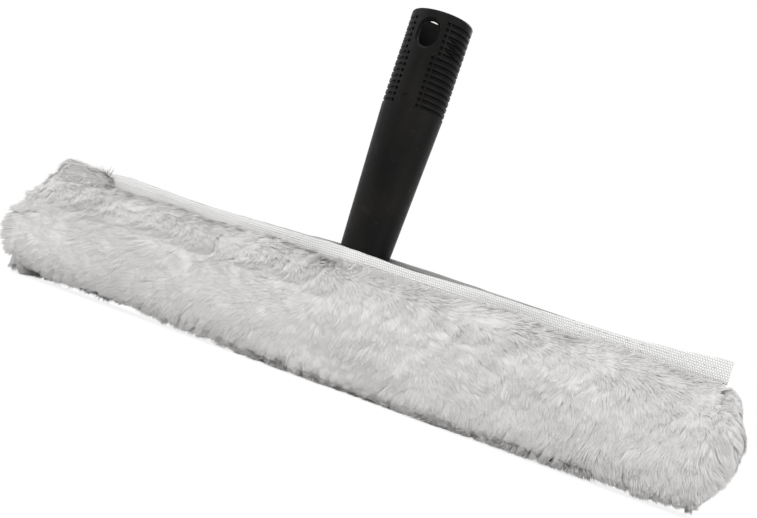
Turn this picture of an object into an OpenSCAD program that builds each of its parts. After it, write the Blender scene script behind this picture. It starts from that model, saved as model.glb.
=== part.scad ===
// Window scrubber: a plush washer sleeve on a moulded T-bar with a grooved grip.
// Millimetres. +Z runs up the handle, X along the bar, and the front of the sleeve is -Y.
// The origin is the middle of the flat strip that the sleeve stands on.

/* [Sleeve] */
// Length of the sleeve over its domed ends
sleeve_l = 360; // [280:5:460]
// Depth of the sleeve from front to back
sleeve_d = 44; // [38:1:56]
// Height of the plush, up to the shoulders beside the slit
plush_h = 57; // [54:1:66]
// Height at which the plush is deepest
belly_z = 25; // [18:1:32]
// Width of the strip that the plush stands on
foot_w = 18; // [10:1:24]
// Thickness of the plush under the bar
sole_t = 10; // [6:0.5:14]
// Length of each domed end panel
end_l = 12; // [8:1:20]
// Thickness of the backing cloth
cloth_t = 1; // [0.6:0.1:1.6]

/* [Slit and hems] */
// Thickness of the woven hem strips
hem_t = 1; // [0.6:0.1:1.6]
// Height of the hems above the plush
hem_h = 6; // [4:0.5:10]
// How much higher the rear hem stands beside the neck
rear_rise = 2.2; // [0:0.2:4]
// How far the front hem sinks beside the neck
front_dip = 1.2; // [0:0.2:3]
// Distance from the handle's axis to where the hems meet on the left
slit_left = 26; // [20:1:60]
// Distance from the handle's axis to where the hems meet on the right
slit_right = 85; // [40:1:100]
// Room between the neck and the hems
neck_room = 0.4; // [0.3:0.1:2]

/* [Closing flap] */
// Length of the flap
flap_l = 79; // [40:1:79]
// Thickness of the hook tape and of the loop tape
tape_t = 0.8; // [0.5:0.1:1.2]
// Width of both tapes
tape_w = 4; // [3:0.5:5]
// Gap between the flap's lower edge and the plush that it folds over
fold_gap = 0.5; // [0.3:0.1:0.9]

/* [Crossbar] */
// Thickness of the bar
bar_t = 14; // [12:0.5:18]
// Height of the bar
bar_h = 34; // [28:1:38]
// Wall of the bar
bar_wall = 2.2; // [1.6:0.1:3]
// Radius of the bar's long edges
bar_r = 5; // [3:0.5:5.5]
// Length of each drain slot
drain_l = 26; // [14:1:30]
// Width of each drain slot
drain_w = 9; // [6:1:12]
// Thickness of the end plugs' flanges
plug_t = 2.5; // [1.5:0.5:4]
// Depth of the end plugs inside the bar
plug_l = 10; // [6:1:16]

/* [Handle] */
// Length of the handle above the bar
handle_l = 132.6; // [120:0.2:170]
// Diameter of the grip
grip_d = 29.6; // [28:0.2:34]
// Length of the grip from the open end to the taper
grip_l = 45.2; // [44:0.2:60]
// Diameter of the neck where it meets the bar
neck_d = 22.4; // [20:0.2:24]
// Radius of the rounded rim at the open end
rim_r = 1.3; // [0.6:0.1:1.4]
// Width of the tongue inside the bar
tang_w = 50; // [36:1:60]
// Depth of the tongue inside the bar
tang_l = 27; // [20:1:28]

/* [Pole socket] */
// Diameter of the socket for an extension pole
socket_d = 21.8; // [18:0.2:22]
// Length of the socket's cylindrical wall
socket_l = 60; // [40:1:70]
// Diameter of the wider mouth above the socket
mouth_d = 23; // [22.2:0.2:24]
// Diameter of the hollow neck below the socket
core_d = 16.6; // [10:0.2:17]

/* [Hanging hole] */
// Width of the hanging hole
hole_w = 9.6; // [6:0.2:11]
// Height of the hanging hole
hole_h = 12.4; // [11:0.2:14]
// Distance from the open end to the middle of the hole
hole_drop = 11.3; // [9:0.1:12]
// Width of the bevel around the hole
hole_bevel = 0.9; // [0.4:0.1:1.2]

/* [Grip grooves] */
// Number of grooves on each side
groove_n = 15; // [8:1:15]
// Distance between grooves
groove_pitch = 2.86; // [2.4:0.02:2.86]
// Distance from the open end to the first groove
groove_drop = 4.8; // [3:0.1:5]
// Depth of a groove
groove_depth = 0.8; // [0.4:0.1:1]
// Width of a groove at the surface
groove_w = 1.5; // [1:0.1:1.8]
// Number of grooves that stop short of the hanging hole
short_n = 6; // [4:1:8]
// Half the angle of the smooth band beside the hanging hole
band_wide = 30; // [26:1:36]
// Half the angle of the smooth band below it
band_narrow = 21; // [14:1:25]

/* [Rivets and thread] */
// Distance between the two rivets
rivet_gap = 28; // [20:1:34]
// Diameter of a rivet's shank
rivet_d = 4.8; // [3:0.2:6]
// Diameter of the rivets' heads and washers
head_d = 8; // [6.4:0.2:9]
// Thickness of the rivets' heads and washers
head_t = 0.9; // [0.6:0.1:1.2]
// Length of one stitch
stitch_l = 2; // [1.5:0.1:3]
// Distance from one stitch to the next
stitch_pitch = 3.2; // [3.1:0.1:5]
// Thickness of the thread
thread_t = 0.4; // [0.3:0.1:0.6]

/* [Hidden] */
$fn = 64;

// Colours, as the photograph shows them
plush_white = "#d3d2d0";
cloth_white = "#e6e6e4";
handle_black = "#232222";
bar_grey = "#3a3b3c";
steel = "#a9abad";
over = 1;

// Clearances
fit = 0.3;
lay = 0.25;
plug_fit = 0.15;
rivet_fit = 0.1;
sewn_gap = 0.1;
tape_gap = 0.3;
end_gap = 0.5;

// Stack of pieces from the floor up
body_x = sleeve_l / 2 - end_l;
hem_x = body_x - 1;
bar_z = sole_t + lay + cloth_t + fit;
bar_top = bar_z + bar_h;
bar_x = body_x - end_gap - plug_t;
roof_z = bar_top + fit + cloth_t + lay;
cavity_y = bar_t / 2 + fit + cloth_t + lay;
hem_z = roof_z;
hem_top = plush_h + hem_h;
rear_top = hem_top + rear_rise;
handle_top = bar_top + handle_l;

// Handle
root_h = roof_z + lay - bar_top;
neck_z = bar_top + root_h;
root_w = neck_d * 0.85;
root_t = neck_d * 0.55;
grip_z = handle_top - grip_l;
tang_t = bar_t - 2 * bar_wall - 2 * fit;
hole_z = handle_top - hole_drop;
mouth_z = hole_z - hole_h / 2 - 1.5;
socket_z = mouth_z - socket_l;
core_z = neck_z + 3;
rivet_z = bar_top - tang_l / 2;
mark_d = 3.6;
mark_depth = 0.4;
rib_angle = 3;
dot_angle = 6;

function neck_r_at(z) = (neck_d + (grip_d - neck_d) * (z - bar_top) / (grip_z - bar_top)) / 2;

// Half the slit's width where the hems are sewn, and where the tapes close them
sewn_y = sewn_gap / 2;
tape_y = tape_t + tape_gap / 2;
slit_r = neck_r_at(rear_top) + neck_room;
flap_x = hem_x - flap_l;
flap_z = plush_h + fold_gap + hem_t / 2;
tape_z = (flap_z + hem_top) / 2;

// One edge of the slit at an offset t from the hems' inner faces: straight where the hems meet,
// round where they pass the neck, and tangent lines between
function tangent_angle(x, y, r, side) = atan2(y, x) + side * acos(r / norm([x, y]));
function left_angle(t) = tangent_angle(-slit_left, sewn_y + t, slit_r + t, -1);
function right_angle(t) = tangent_angle(slit_right, tape_y + t, slit_r + t, 1);
arc_steps = 4;
function neck_arc(t) = [
    for (i = [0:arc_steps])
        let (a = left_angle(t) + (right_angle(t) - left_angle(t)) * i / arc_steps)
            (slit_r + t) * [cos(a), sin(a)]
];
function slit_edge(t, x_end) = concat(
    [[-x_end, sewn_y + t], [-slit_left, sewn_y + t]],
    neck_arc(t),
    [[slit_right, tape_y + t], [x_end, tape_y + t]]
);

function mirrored(points) = [for (p = points) [-p[0], p[1]]];
function flipped(points) = [for (p = points) [p[0], -p[1]]];
function reversed(points) = [for (i = [len(points) - 1:-1:0]) points[i]];

// Cubic curves give the plush its rounded section
roundness = 0.62;
shoulder_drop = 2.5;
lip = 1;
function cubic(p, t) =
    pow(1 - t, 3) * p[0] + 3 * t * pow(1 - t, 2) * p[1] + 3 * t * t * (1 - t) * p[2] + pow(t, 3) * p[3];
function curve(p, first, steps) = [for (i = [first:steps]) cubic(p, i / steps)];
function part_way(a, b) = a + (b - a) * roundness;

// Outside of the plush on one side, from the foot up to a top edge at the given distance
function outer_half(top_y) = concat(
    curve([
        [foot_w / 2, 0],
        [part_way(foot_w / 2, sleeve_d / 2), 0],
        [sleeve_d / 2, belly_z - belly_z * roundness],
        [sleeve_d / 2, belly_z]
    ], 0, 6),
    curve([
        [sleeve_d / 2, belly_z],
        [sleeve_d / 2, part_way(belly_z, plush_h)],
        [part_way(top_y, sleeve_d / 2), plush_h - shoulder_drop],
        [top_y, plush_h]
    ], 1, 8)
);

// Inside of the plush on one side, from the slit down round the bar to the middle of the sole
function inner_half(slit_y) = concat(
    [[slit_y, plush_h], [slit_y, roof_z], [cavity_y, roof_z]],
    [
        for (a = [0:-30:-90])
            [cavity_y - bar_r + bar_r * cos(a), sole_t + bar_r + bar_r * sin(a)]
    ]
);

function plush_ring(slit_y) =
    let (half = concat(outer_half(slit_y + lip), inner_half(slit_y)))
        concat(half, mirrored(reversed(half)));

// A closed solid through rings of points that all have the same count
module loft(rings) {
    n = len(rings[0]);
    m = len(rings);
    sides = [
        for (i = [0:m - 2]) for (j = [0:n - 1])
            let (a = i * n + j, b = i * n + (j + 1) % n)
                each [[a, b + n, b], [a, a + n, b + n]]
    ];
    caps = [[for (j = [0:n - 1]) j], [for (j = [n - 1:-1:0]) (m - 1) * n + j]];
    polyhedron(points = [for (r = rings) each r], faces = concat(sides, caps));
}

module rounded_plate(w, h, r) {
    square([w - 2 * r, h], center = true);
    square([w, h - 2 * r], center = true);
    for (x = [-1, 1]) for (y = [-1, 1]) translate([x * (w / 2 - r), y * (h / 2 - r)]) circle(r);
}

// Turns a flat outline in Y and Z into a bar along X, centred on the handle
module along_x(length) {
    rotate([90, 0, 90]) translate([0, 0, -length / 2]) linear_extrude(length) children();
}

// Turns a flat outline in X and Z into a plate of the given thickness along Y
module along_y(thickness) {
    rotate([90, 0, 0]) translate([0, 0, -thickness / 2]) linear_extrude(thickness) children();
}

module bar_outline(inset) {
    translate([0, bar_z + bar_h / 2])
        rounded_plate(bar_t - 2 * inset, bar_h - 2 * inset, bar_r - inset);
}

// T-bar

module grip_body() {
    rotate_extrude() {
        polygon([
            [0, neck_z],
            [neck_r_at(neck_z), neck_z],
            [grip_d / 2, grip_z],
            [grip_d / 2, handle_top - rim_r],
            [grip_d / 2 - rim_r, handle_top],
            [0, handle_top]
        ]);
        translate([grip_d / 2 - rim_r, handle_top - rim_r]) circle(rim_r);
    }
}

// The tongue goes into the bar, and a waist as thick as the bar joins it to the neck
module tongue() {
    translate([-tang_w / 2, -tang_t / 2, bar_top - tang_l]) cube([tang_w, tang_t, tang_l]);
    translate([-root_w / 2, -tang_t / 2, bar_top - over]) cube([root_w, tang_t, root_h + over]);
    translate([-root_w / 2, -root_t / 2, bar_top]) cube([root_w, root_t, root_h + over]);
}

module handle_bores() {
    translate([0, 0, mouth_z]) cylinder(d = mouth_d, h = hole_drop + hole_h + over * 2);
    translate([0, 0, socket_z]) cylinder(d = socket_d, h = socket_l + over);
    translate([0, 0, core_z]) cylinder(d = core_d, h = socket_z - core_z + over);
}

module hole_outline(r) {
    side = (hole_h - hole_w) / 2;
    square([2 * r, 2 * side], center = true);
    for (z = [-side, side]) translate([0, z]) circle(r);
}

module hole_bevel_cut() {
    side = (hole_h - hole_w) / 2;
    slope = hole_bevel / (hole_bevel + over);
    wide = hole_w / 2 + hole_bevel / slope;
    deep = hole_bevel + over;
    for (z = [-side, side])
        translate([0, -grip_d / 2 - over, z])
            rotate([-90, 0, 0]) cylinder(r1 = wide, r2 = hole_w / 2, h = 2 * deep - hole_bevel);
    translate([0, -grip_d / 2 - over, -side])
        linear_extrude(2 * side)
            polygon([
                [-wide, 0], [wide, 0],
                [hole_w / 2, 2 * deep - hole_bevel], [-hole_w / 2, 2 * deep - hole_bevel]
            ]);
}

module hanging_hole() {
    translate([0, 0, hole_z]) {
        along_y(grip_d + 2 * over) hole_outline(hole_w / 2);
        hole_bevel_cut();
        mirror([0, 1, 0]) hole_bevel_cut();
    }
}

// One groove between two angles, which are counted from +X
module groove(from, to) {
    rotate([0, 0, from])
        rotate_extrude(angle = to - from)
            polygon([
                [grip_d / 2 + over, -groove_w / 2 - over / 2],
                [grip_d / 2 - groove_depth, -groove_w / 4],
                [grip_d / 2 - groove_depth, groove_w / 4],
                [grip_d / 2 + over, groove_w / 2 + over / 2]
            ]);
}

// Each groove runs round one side and has a short dot at either end, past a thin rib
module side_groove(band) {
    reach = 90 - band;
    long = reach - dot_angle - rib_angle;
    groove(-reach, -reach + dot_angle);
    groove(-long, long);
    groove(reach - dot_angle, reach);
}

module grip_grooves() {
    for (i = [0:groove_n - 1]) for (side = [0, 180])
        translate([0, 0, handle_top - groove_drop - i * groove_pitch])
            rotate([0, 0, side]) side_groove(i < short_n ? band_wide : band_narrow);
}

// A shallow round mould mark at the foot of the smooth band
module mould_mark() {
    translate([0, -grip_d / 2 + mark_depth, grip_z + mark_d * 0.7])
        rotate([90, 0, 0]) cylinder(d = mark_d, h = over);
}

module rivet_places() {
    for (x = [-1, 1]) translate([x * rivet_gap / 2, 0, rivet_z]) rotate([90, 0, 0]) children();
}

module handle() {
    color(handle_black) difference() {
        union() {
            grip_body();
            tongue();
        }
        handle_bores();
        hanging_hole();
        grip_grooves();
        mould_mark();
        rivet_places() cylinder(d = rivet_d + 2 * rivet_fit, h = tang_t + 2 * over, center = true);
    }
}

module drain_slots() {
    first = tang_w / 2 + drain_l;
    last = bar_x - plug_l - drain_l;
    for (side = [-1, 1]) for (i = [0:2])
        translate([side * (first + (last - first) * i / 2), 0, bar_z + bar_h / 2])
            along_y(bar_t + 2 * over) rounded_plate(drain_l, drain_w, drain_w / 2 - fit / 10);
}

module crossbar() {
    tongue_hole = [tang_w + 2 * fit, tang_t + 2 * fit, 2 * bar_r];
    color(bar_grey) difference() {
        along_x(2 * bar_x) bar_outline(0);
        along_x(2 * bar_x + 2 * over) bar_outline(bar_wall);
        translate([0, 0, bar_top]) cube(tongue_hole, center = true);
        drain_slots();
        rivet_places() {
            cylinder(d = rivet_d + 2 * rivet_fit, h = bar_t + 2 * over, center = true);
            for (side = [-1, 1])
                translate([0, 0, side * (bar_t / 2 - head_t + over)])
                    cylinder(d = head_d + 2 * rivet_fit, h = 2 * over, center = true);
        }
    }
}

module end_plug() {
    inside = bar_wall + plug_fit;
    translate([bar_x + plug_t / 2, 0, 0]) along_x(plug_t) bar_outline(0);
    difference() {
        translate([bar_x - plug_l / 2, 0, 0]) along_x(plug_l) bar_outline(inside);
        translate([bar_x - plug_l / 2 - plug_t, 0, 0]) along_x(plug_l) bar_outline(inside + bar_wall / 2);
    }
}

module left_end_plug() {
    color(bar_grey) mirror([1, 0, 0]) end_plug();
}

module right_end_plug() {
    color(bar_grey) end_plug();
}

// Flat heads lie flush in the bar's front, and the clinched ends hold washers at its back
module tongue_rivets() {
    color(steel) rivet_places() {
        cylinder(d = rivet_d, h = bar_t - 2 * rivet_fit, center = true);
        translate([0, 0, bar_t / 2 - head_t]) cylinder(d = head_d, h = head_t - rivet_fit);
    }
}

module rivet_washers() {
    color(steel) rivet_places() {
        translate([0, 0, -bar_t / 2 + rivet_fit]) difference() {
            cylinder(d = head_d, h = head_t - rivet_fit);
            translate([0, 0, -over]) cylinder(d = rivet_d + 2 * rivet_fit, h = head_t + 2 * over);
        }
    }
}

// Sleeve

module pile_cover() {
    edge = slit_edge(hem_t + lay, body_x);
    color(plush_white) loft([
        for (e = edge)
            let (x = e[0]) [for (p = plush_ring(e[1])) [x, p[0], p[1]]]
    ]);
}

// The dome shrinks towards its own middle, so that its edge meets the plush all round
dome_steps = 5;
dome_flat = 0.32;
module end_panel() {
    side = outer_half(lip);
    outline = concat(side, mirrored(reversed(side)));
    middle = [0, plush_h * 0.48];
    color(plush_white) loft([
        for (i = [0:dome_steps])
            let (a = 90 * i / dome_steps, k = dome_flat + (1 - dome_flat) * cos(a))
                [
                    for (p = outline)
                        let (q = middle + k * (p - middle)) [body_x + end_l * sin(a), q[0], q[1]]
                ]
    ]);
}

module right_end_panel() {
    end_panel();
}

module left_end_panel() {
    mirror([1, 0, 0]) end_panel();
}

// A channel of cloth round the bar, open along the slit
module channel_outline(half_w, z0, z1, r) {
    translate([-half_w, z0 + r]) square([2 * half_w, z1 - z0 - r]);
    translate([-half_w + r, z0]) square([2 * half_w - 2 * r, r + over]);
    for (side = [-1, 1]) translate([side * (half_w - r), z0 + r]) circle(r);
}

module slit_opening() {
    edge = slit_edge(0, body_x + over);
    polygon(concat(edge, flipped(reversed(edge))));
}

module backing_cloth() {
    outer_y = cavity_y - lay;
    outer_r = bar_r - lay;
    color(cloth_white) difference() {
        along_x(2 * body_x - 2 * lay) channel_outline(outer_y, sole_t + lay, roof_z - lay, outer_r);
        along_x(2 * body_x + over) channel_outline(
            outer_y - cloth_t, sole_t + lay + cloth_t, roof_z - lay - cloth_t, outer_r - cloth_t
        );
        translate([0, 0, roof_z - lay - cloth_t - over / 2]) linear_extrude(3 * over) slit_opening();
    }
}

// A hem follows the slit's edge in plan and an outline of its own seen from the front
module hem_strip(profile) {
    intersection() {
        translate([0, 0, hem_z - over]) linear_extrude(rear_top - hem_z + 2 * over)
            polygon(concat(slit_edge(0, hem_x), reversed(slit_edge(hem_t, hem_x))));
        along_y(2 * sleeve_d) polygon(profile);
    }
}

module rear_hem() {
    color(cloth_white) hem_strip([
        [-hem_x, hem_z], [hem_x, hem_z], [hem_x, hem_top], [slit_right, hem_top],
        [slit_right / 2, rear_top], [0, rear_top], [-slit_left, hem_top], [-hem_x, hem_top]
    ]);
}

module front_hem() {
    color(cloth_white) mirror([0, 1, 0]) hem_strip([
        [-hem_x, hem_z], [hem_x, hem_z], [hem_x, plush_h], [flap_x - fit, plush_h],
        [flap_x - fit, hem_top], [slit_right / 2, hem_top - front_dip], [0, hem_top], [-hem_x, hem_top]
    ]);
}

// The flap is the front hem's free end, and folds down about the roll at its lower edge
module closing_flap() {
    color(cloth_white) translate([flap_x, -tape_y - hem_t, flap_z]) {
        cube([flap_l, hem_t, hem_top - flap_z]);
        translate([0, hem_t / 2, 0]) rotate([0, 90, 0]) cylinder(d = hem_t, h = flap_l);
    }
}

module tape() {
    inset = 4;
    translate([flap_x + inset, 0, tape_z - tape_w / 2]) cube([flap_l - 2 * inset, tape_t, tape_w]);
}

module hook_tape() {
    color(bar_grey) translate([0, -tape_y, 0]) tape();
}

module loop_tape() {
    color(cloth_white) translate([0, tape_y - tape_t, 0]) tape();
}

// Stitches

// A row of stitches from one point to another, on the side of the line where Y is higher
module stitch_row(from, to, z) {
    run = norm(to - from);
    count = floor(run / stitch_pitch);
    translate([from[0], from[1], z])
        rotate([0, 0, atan2(to[1] - from[1], to[0] - from[0])])
            for (i = [0:count - 1])
                translate([(i + 0.5) * run / count - stitch_l / 2, 0, -thread_t / 2])
                    cube([stitch_l, thread_t, thread_t]);
}

module on_front() {
    mirror([0, 1, 0]) children();
}

seam_z = plush_h + hem_h / 2;
low_seam_z = plush_h + thread_t * 2;
seam_inset = 3;

module joined_row() {
    stitch_row([-hem_x + seam_inset, sewn_y + hem_t], [-slit_left - seam_inset, sewn_y + hem_t], seam_z);
}

module hem_joining_stitches() {
    color(cloth_white) {
        joined_row();
        on_front() joined_row();
    }
}

module neck_row() {
    from = (slit_r + hem_t) * [cos(right_angle(hem_t)), sin(right_angle(hem_t))];
    to = [slit_right, tape_y + hem_t];
    stitch_row(from + (to - from) * 0.04, to, low_seam_z);
}

module front_hem_stitches() {
    color(cloth_white) on_front() neck_row();
}

module rear_hem_stitches() {
    color(cloth_white) neck_row();
}

module tape_row(z) {
    stitch_row([flap_x + seam_inset, tape_y + hem_t], [hem_x - seam_inset, tape_y + hem_t], z);
}

module flap_stitches() {
    color(cloth_white) on_front() for (side = [-1, 1]) tape_row(tape_z + side * tape_w / 3);
}

module loop_tape_stitches() {
    color(cloth_white) for (side = [-1, 1]) tape_row(tape_z + side * tape_w / 3);
}

// Overcast stitches lie across the joint between the plush and an end panel
module end_stitches(half_slit) {
    side = outer_half(half_slit + hem_t + lay + lip);
    last = len(side) - 3;
    color(cloth_white) for (i = [2:last]) for (flip = [0, 1])
        let (step = side[i + 1] - side[i - 1])
            mirror([0, flip, 0]) translate([body_x - end_gap - stitch_l, side[i][0], side[i][1]])
                rotate([atan2(step[1], step[0]), 0, 0])
                    translate([0, -thread_t / 2, -thread_t - lay / 2])
                        cube([stitch_l, thread_t, thread_t]);
}

module right_end_stitches() {
    end_stitches(tape_y);
}

module left_end_stitches() {
    mirror([1, 0, 0]) end_stitches(sewn_y);
}

handle();
crossbar();
left_end_plug();
right_end_plug();
tongue_rivets();
rivet_washers();
pile_cover();
backing_cloth();
left_end_panel();
right_end_panel();
front_hem();
rear_hem();
loop_tape();
closing_flap();
hook_tape();
hem_joining_stitches();
front_hem_stitches();
rear_hem_stitches();
loop_tape_stitches();
flap_stitches();
left_end_stitches();
right_end_stitches();
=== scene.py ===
import math

import bpy
import numpy as np
from mathutils import Matrix, Vector


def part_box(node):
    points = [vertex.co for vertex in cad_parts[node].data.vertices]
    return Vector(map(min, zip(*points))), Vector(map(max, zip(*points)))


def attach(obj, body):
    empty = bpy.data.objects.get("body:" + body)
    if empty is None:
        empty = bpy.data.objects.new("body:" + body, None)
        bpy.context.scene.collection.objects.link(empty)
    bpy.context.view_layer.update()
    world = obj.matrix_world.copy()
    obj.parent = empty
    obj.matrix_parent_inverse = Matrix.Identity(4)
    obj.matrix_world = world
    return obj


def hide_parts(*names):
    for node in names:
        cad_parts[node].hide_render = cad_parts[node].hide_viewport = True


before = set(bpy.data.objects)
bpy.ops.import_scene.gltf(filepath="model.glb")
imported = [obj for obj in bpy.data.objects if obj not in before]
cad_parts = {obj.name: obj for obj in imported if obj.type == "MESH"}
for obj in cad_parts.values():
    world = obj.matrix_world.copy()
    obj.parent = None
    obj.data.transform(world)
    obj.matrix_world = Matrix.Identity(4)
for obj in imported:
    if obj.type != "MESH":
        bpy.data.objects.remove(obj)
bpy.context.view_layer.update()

MM = 0.001

# Plush section, from the foot up to the lips of the slit
PILE_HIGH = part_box("pile_cover")[1]
BODY_X = PILE_HIGH.x
HALF_DEPTH = PILE_HIGH.y
PILE_TOP = PILE_HIGH.z
END_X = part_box("right_end_panel")[1].x
FOOT_WIDTH = 18 * MM
BELLY_Z = 25 * MM
ROUNDNESS = 0.62
SHOULDER_DROP = 2.5 * MM
LIP = 1 * MM
CLOTH_INSET = 2.8 * MM
CLOTH_THICK = 0.6 * MM
DOME_FLAT = 0.32
DOME_TIP = 0.02
DOME_MIDDLE = 0.48 * PILE_TOP

# Slit and hems
HEM_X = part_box("rear_hem")[1].x
HEM_THICK = 1 * MM
HEM_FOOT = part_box("rear_hem")[0].z
SEWN_Y = 0.05 * MM
TAPE_Y = 0.95 * MM
SLIT_LEFT = 26 * MM
SLIT_RIGHT = 85 * MM
SLIT_R = 12.4 * MM
FLAP_LOW, FLAP_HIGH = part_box("closing_flap")
WEAVE_PITCH = 1.05 * MM

# Pile
TUFT_LENGTH = 7.5 * MM
TUFT_WIDTH = 1.15 * MM
TUFT_DENSITY = 7.2e6
LOCK_SPACING = 3.4 * MM
LOCK_DENSITY = 4e5
SLICES = 8

# Camera that matches the photograph: 757 x 518, principal point in the middle
CAMERA_YAW = 19.85
CAMERA_LIFT = -2.65
CAMERA_ROLL = 18.56
CAMERA_DISTANCE = 523.64 * MM
CAMERA_TARGET = Vector((7.29 * MM, 0, 62.43 * MM))
IMAGE_WIDTH = 757
FOCAL_PIXELS = 1137.7
SENSOR = 36


# Node trees

def fill(tree, node, inputs):
    """Links or sets a node's inputs, each by its name or number."""
    for key, value in inputs.items():
        if isinstance(value, bpy.types.NodeSocket):
            tree.links.new(value, node.inputs[key])
        else:
            node.inputs[key].default_value = value
    return node


def add(tree, kind, inputs=None, **settings):
    """Adds a node, sets its properties, and fills its inputs."""
    made = tree.nodes.new(kind)
    for name, value in settings.items():
        setattr(made, name, value)
    return fill(tree, made, inputs or {})


def math_of(tree, operation, *values):
    return add(tree, "ShaderNodeMath", dict(enumerate(values)), operation=operation).outputs[0]


def times(tree, a, b):
    return math_of(tree, "MULTIPLY", a, b)


def vector_of(tree, operation, *values):
    inputs = dict(enumerate(values))
    if operation == "SCALE":
        inputs = {0: values[0], "Scale": values[1]}
    made = add(tree, "ShaderNodeVectorMath", inputs, operation=operation)
    return made.outputs["Value" if operation in ("LENGTH", "DOT_PRODUCT") else "Vector"]


def ramp(tree, value, low, high, out_low=0.0, out_high=1.0):
    """A smooth step of a value, from one output to another."""
    inputs = {"Value": value, "From Min": low, "From Max": high, "To Min": out_low, "To Max": out_high}
    return add(tree, "ShaderNodeMapRange", inputs, interpolation_type="SMOOTHSTEP").outputs["Result"]


def blend_colours(tree, factor, a, b):
    return add(tree, "ShaderNodeMix", {0: factor, 6: a, 7: b}, data_type="RGBA").outputs[2]


def noise(tree, vector, scale, detail=2.0, roughness=0.5):
    inputs = {"Vector": vector, "Scale": scale, "Detail": detail, "Roughness": roughness}
    return add(tree, "ShaderNodeTexNoise", inputs)


def group_tree(name, kind, inputs, outputs):
    """A node group with named sockets, and its input node and output node."""
    tree = bpy.data.node_groups.new(name, kind)
    for direction, sockets in (("INPUT", inputs), ("OUTPUT", outputs)):
        for label, socket_type, *value in sockets:
            socket = tree.interface.new_socket(label, in_out=direction, socket_type=socket_type)
            if value:
                socket.default_value = value[0]
    return tree, tree.nodes.new("NodeGroupInput"), tree.nodes.new("NodeGroupOutput")


def use_group(tree, group, inputs=None):
    return add(tree, "ShaderNodeGroup", inputs, node_tree=group)


def object_place(tree):
    return add(tree, "ShaderNodeTexCoord").outputs["Object"]


def xyz_of(tree, vector):
    return add(tree, "ShaderNodeSeparateXYZ", {0: vector}).outputs


def vector_from(tree, x, y, z):
    return add(tree, "ShaderNodeCombineXYZ", {"X": x, "Y": y, "Z": z}).outputs[0]


def named(tree, name, kind="FLOAT"):
    """Reads a stored attribute in a geometry tree."""
    read = add(tree, "GeometryNodeInputNamedAttribute", {"Name": name}, data_type=kind)
    return read.outputs["Attribute"]


def material(name):
    """A new material, its tree and its Principled shader."""
    made = bpy.data.materials.new(name)
    made.use_nodes = True
    return made, made.node_tree, made.node_tree.nodes["Principled BSDF"]


def grey(level, warmth=0.0):
    return (level * (1 + warmth), level, level * (1 - warmth), 1)


# Effects that several materials share

def grain_group():
    """Fine uneven grain of a moulded or spun surface: a height, and a mask for its highs."""
    floats = [("Coarse", "NodeSocketFloat", 300.0), ("Fine", "NodeSocketFloat", 1800.0)]
    outputs = [("Height", "NodeSocketFloat"), ("Mask", "NodeSocketFloat")]
    tree, source, sink = group_tree("Surface grain", "ShaderNodeTree", floats, outputs)
    place = object_place(tree)
    coarse = noise(tree, place, source.outputs["Coarse"], 3.0).outputs["Fac"]
    fine = noise(tree, place, source.outputs["Fine"], 2.0).outputs["Fac"]
    height = math_of(tree, "ADD", times(tree, coarse, 0.6), times(tree, fine, 0.4))
    fill(tree, sink, {"Height": height, "Mask": ramp(tree, coarse, 0.4, 0.65)})
    return tree


def thread_group():
    """Plain weave along a strip's own UV map, in crossings: a height, a mask of the yarns, and the row."""
    outputs = [("Height", "NodeSocketFloat"), ("Mask", "NodeSocketFloat"), ("Row", "NodeSocketFloat")]
    tree, _, sink = group_tree("Woven threads", "ShaderNodeTree", [], outputs)
    strip = xyz_of(tree, add(tree, "ShaderNodeUVMap", uv_map="Weave").outputs["UV"])
    odd_row = math_of(tree, "FLOORED_MODULO", math_of(tree, "FLOOR", strip["Y"]), 2.0)
    shifted = math_of(tree, "ADD", strip["X"], times(tree, odd_row, 0.5))
    humps = [
        math_of(tree, "ABSOLUTE", math_of(tree, "SINE", times(tree, place, math.pi)))
        for place in (shifted, strip["Y"])
    ]
    height = times(tree, *humps)
    fill(tree, sink, {"Height": height, "Mask": ramp(tree, height, 0.25, 0.85), "Row": strip["Y"]})
    return tree


GRAIN = grain_group()
THREADS = thread_group()


def bumped(tree, shader, height, distance, strength=1.0):
    inputs = {"Height": height, "Distance": distance, "Strength": strength}
    tree.links.new(add(tree, "ShaderNodeBump", inputs).outputs[0], shader.inputs["Normal"])


# Materials

def plush_material():
    """Soft off-white acrylic pile, with painted shade greying its roots, and a little uneven from lock to
    lock.
    """
    made, tree, shader = material("plush_pile")
    along = add(tree, "ShaderNodeAttribute", attribute_name="along").outputs["Fac"]
    tint = add(tree, "ShaderNodeAttribute", attribute_name="tint").outputs["Fac"]
    patches = noise(tree, object_place(tree), 45.0, 3.0).outputs["Fac"]
    # Painted shade: the strands' roots are coloured darker than their tips.
    root_shade_to_tip = blend_colours(tree, ramp(tree, along, 0.0, 0.75), grey(0.715, 0.014), grey(0.745, 0.012))
    tinted = blend_colours(tree, times(tree, tint, 0.35), root_shade_to_tip, grey(0.71, 0.013))
    shaded = blend_colours(tree, ramp(tree, patches, 0.35, 0.7, 0.0, 0.25), tinted, grey(0.70, 0.016))
    fill(tree, shader, {
        "Base Color": shaded, "Roughness": ramp(tree, along, 0.0, 1.0, 0.95, 0.75),
        "Specular IOR Level": 0.15, "Sheen Weight": 0.1,
    })
    return made


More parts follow.
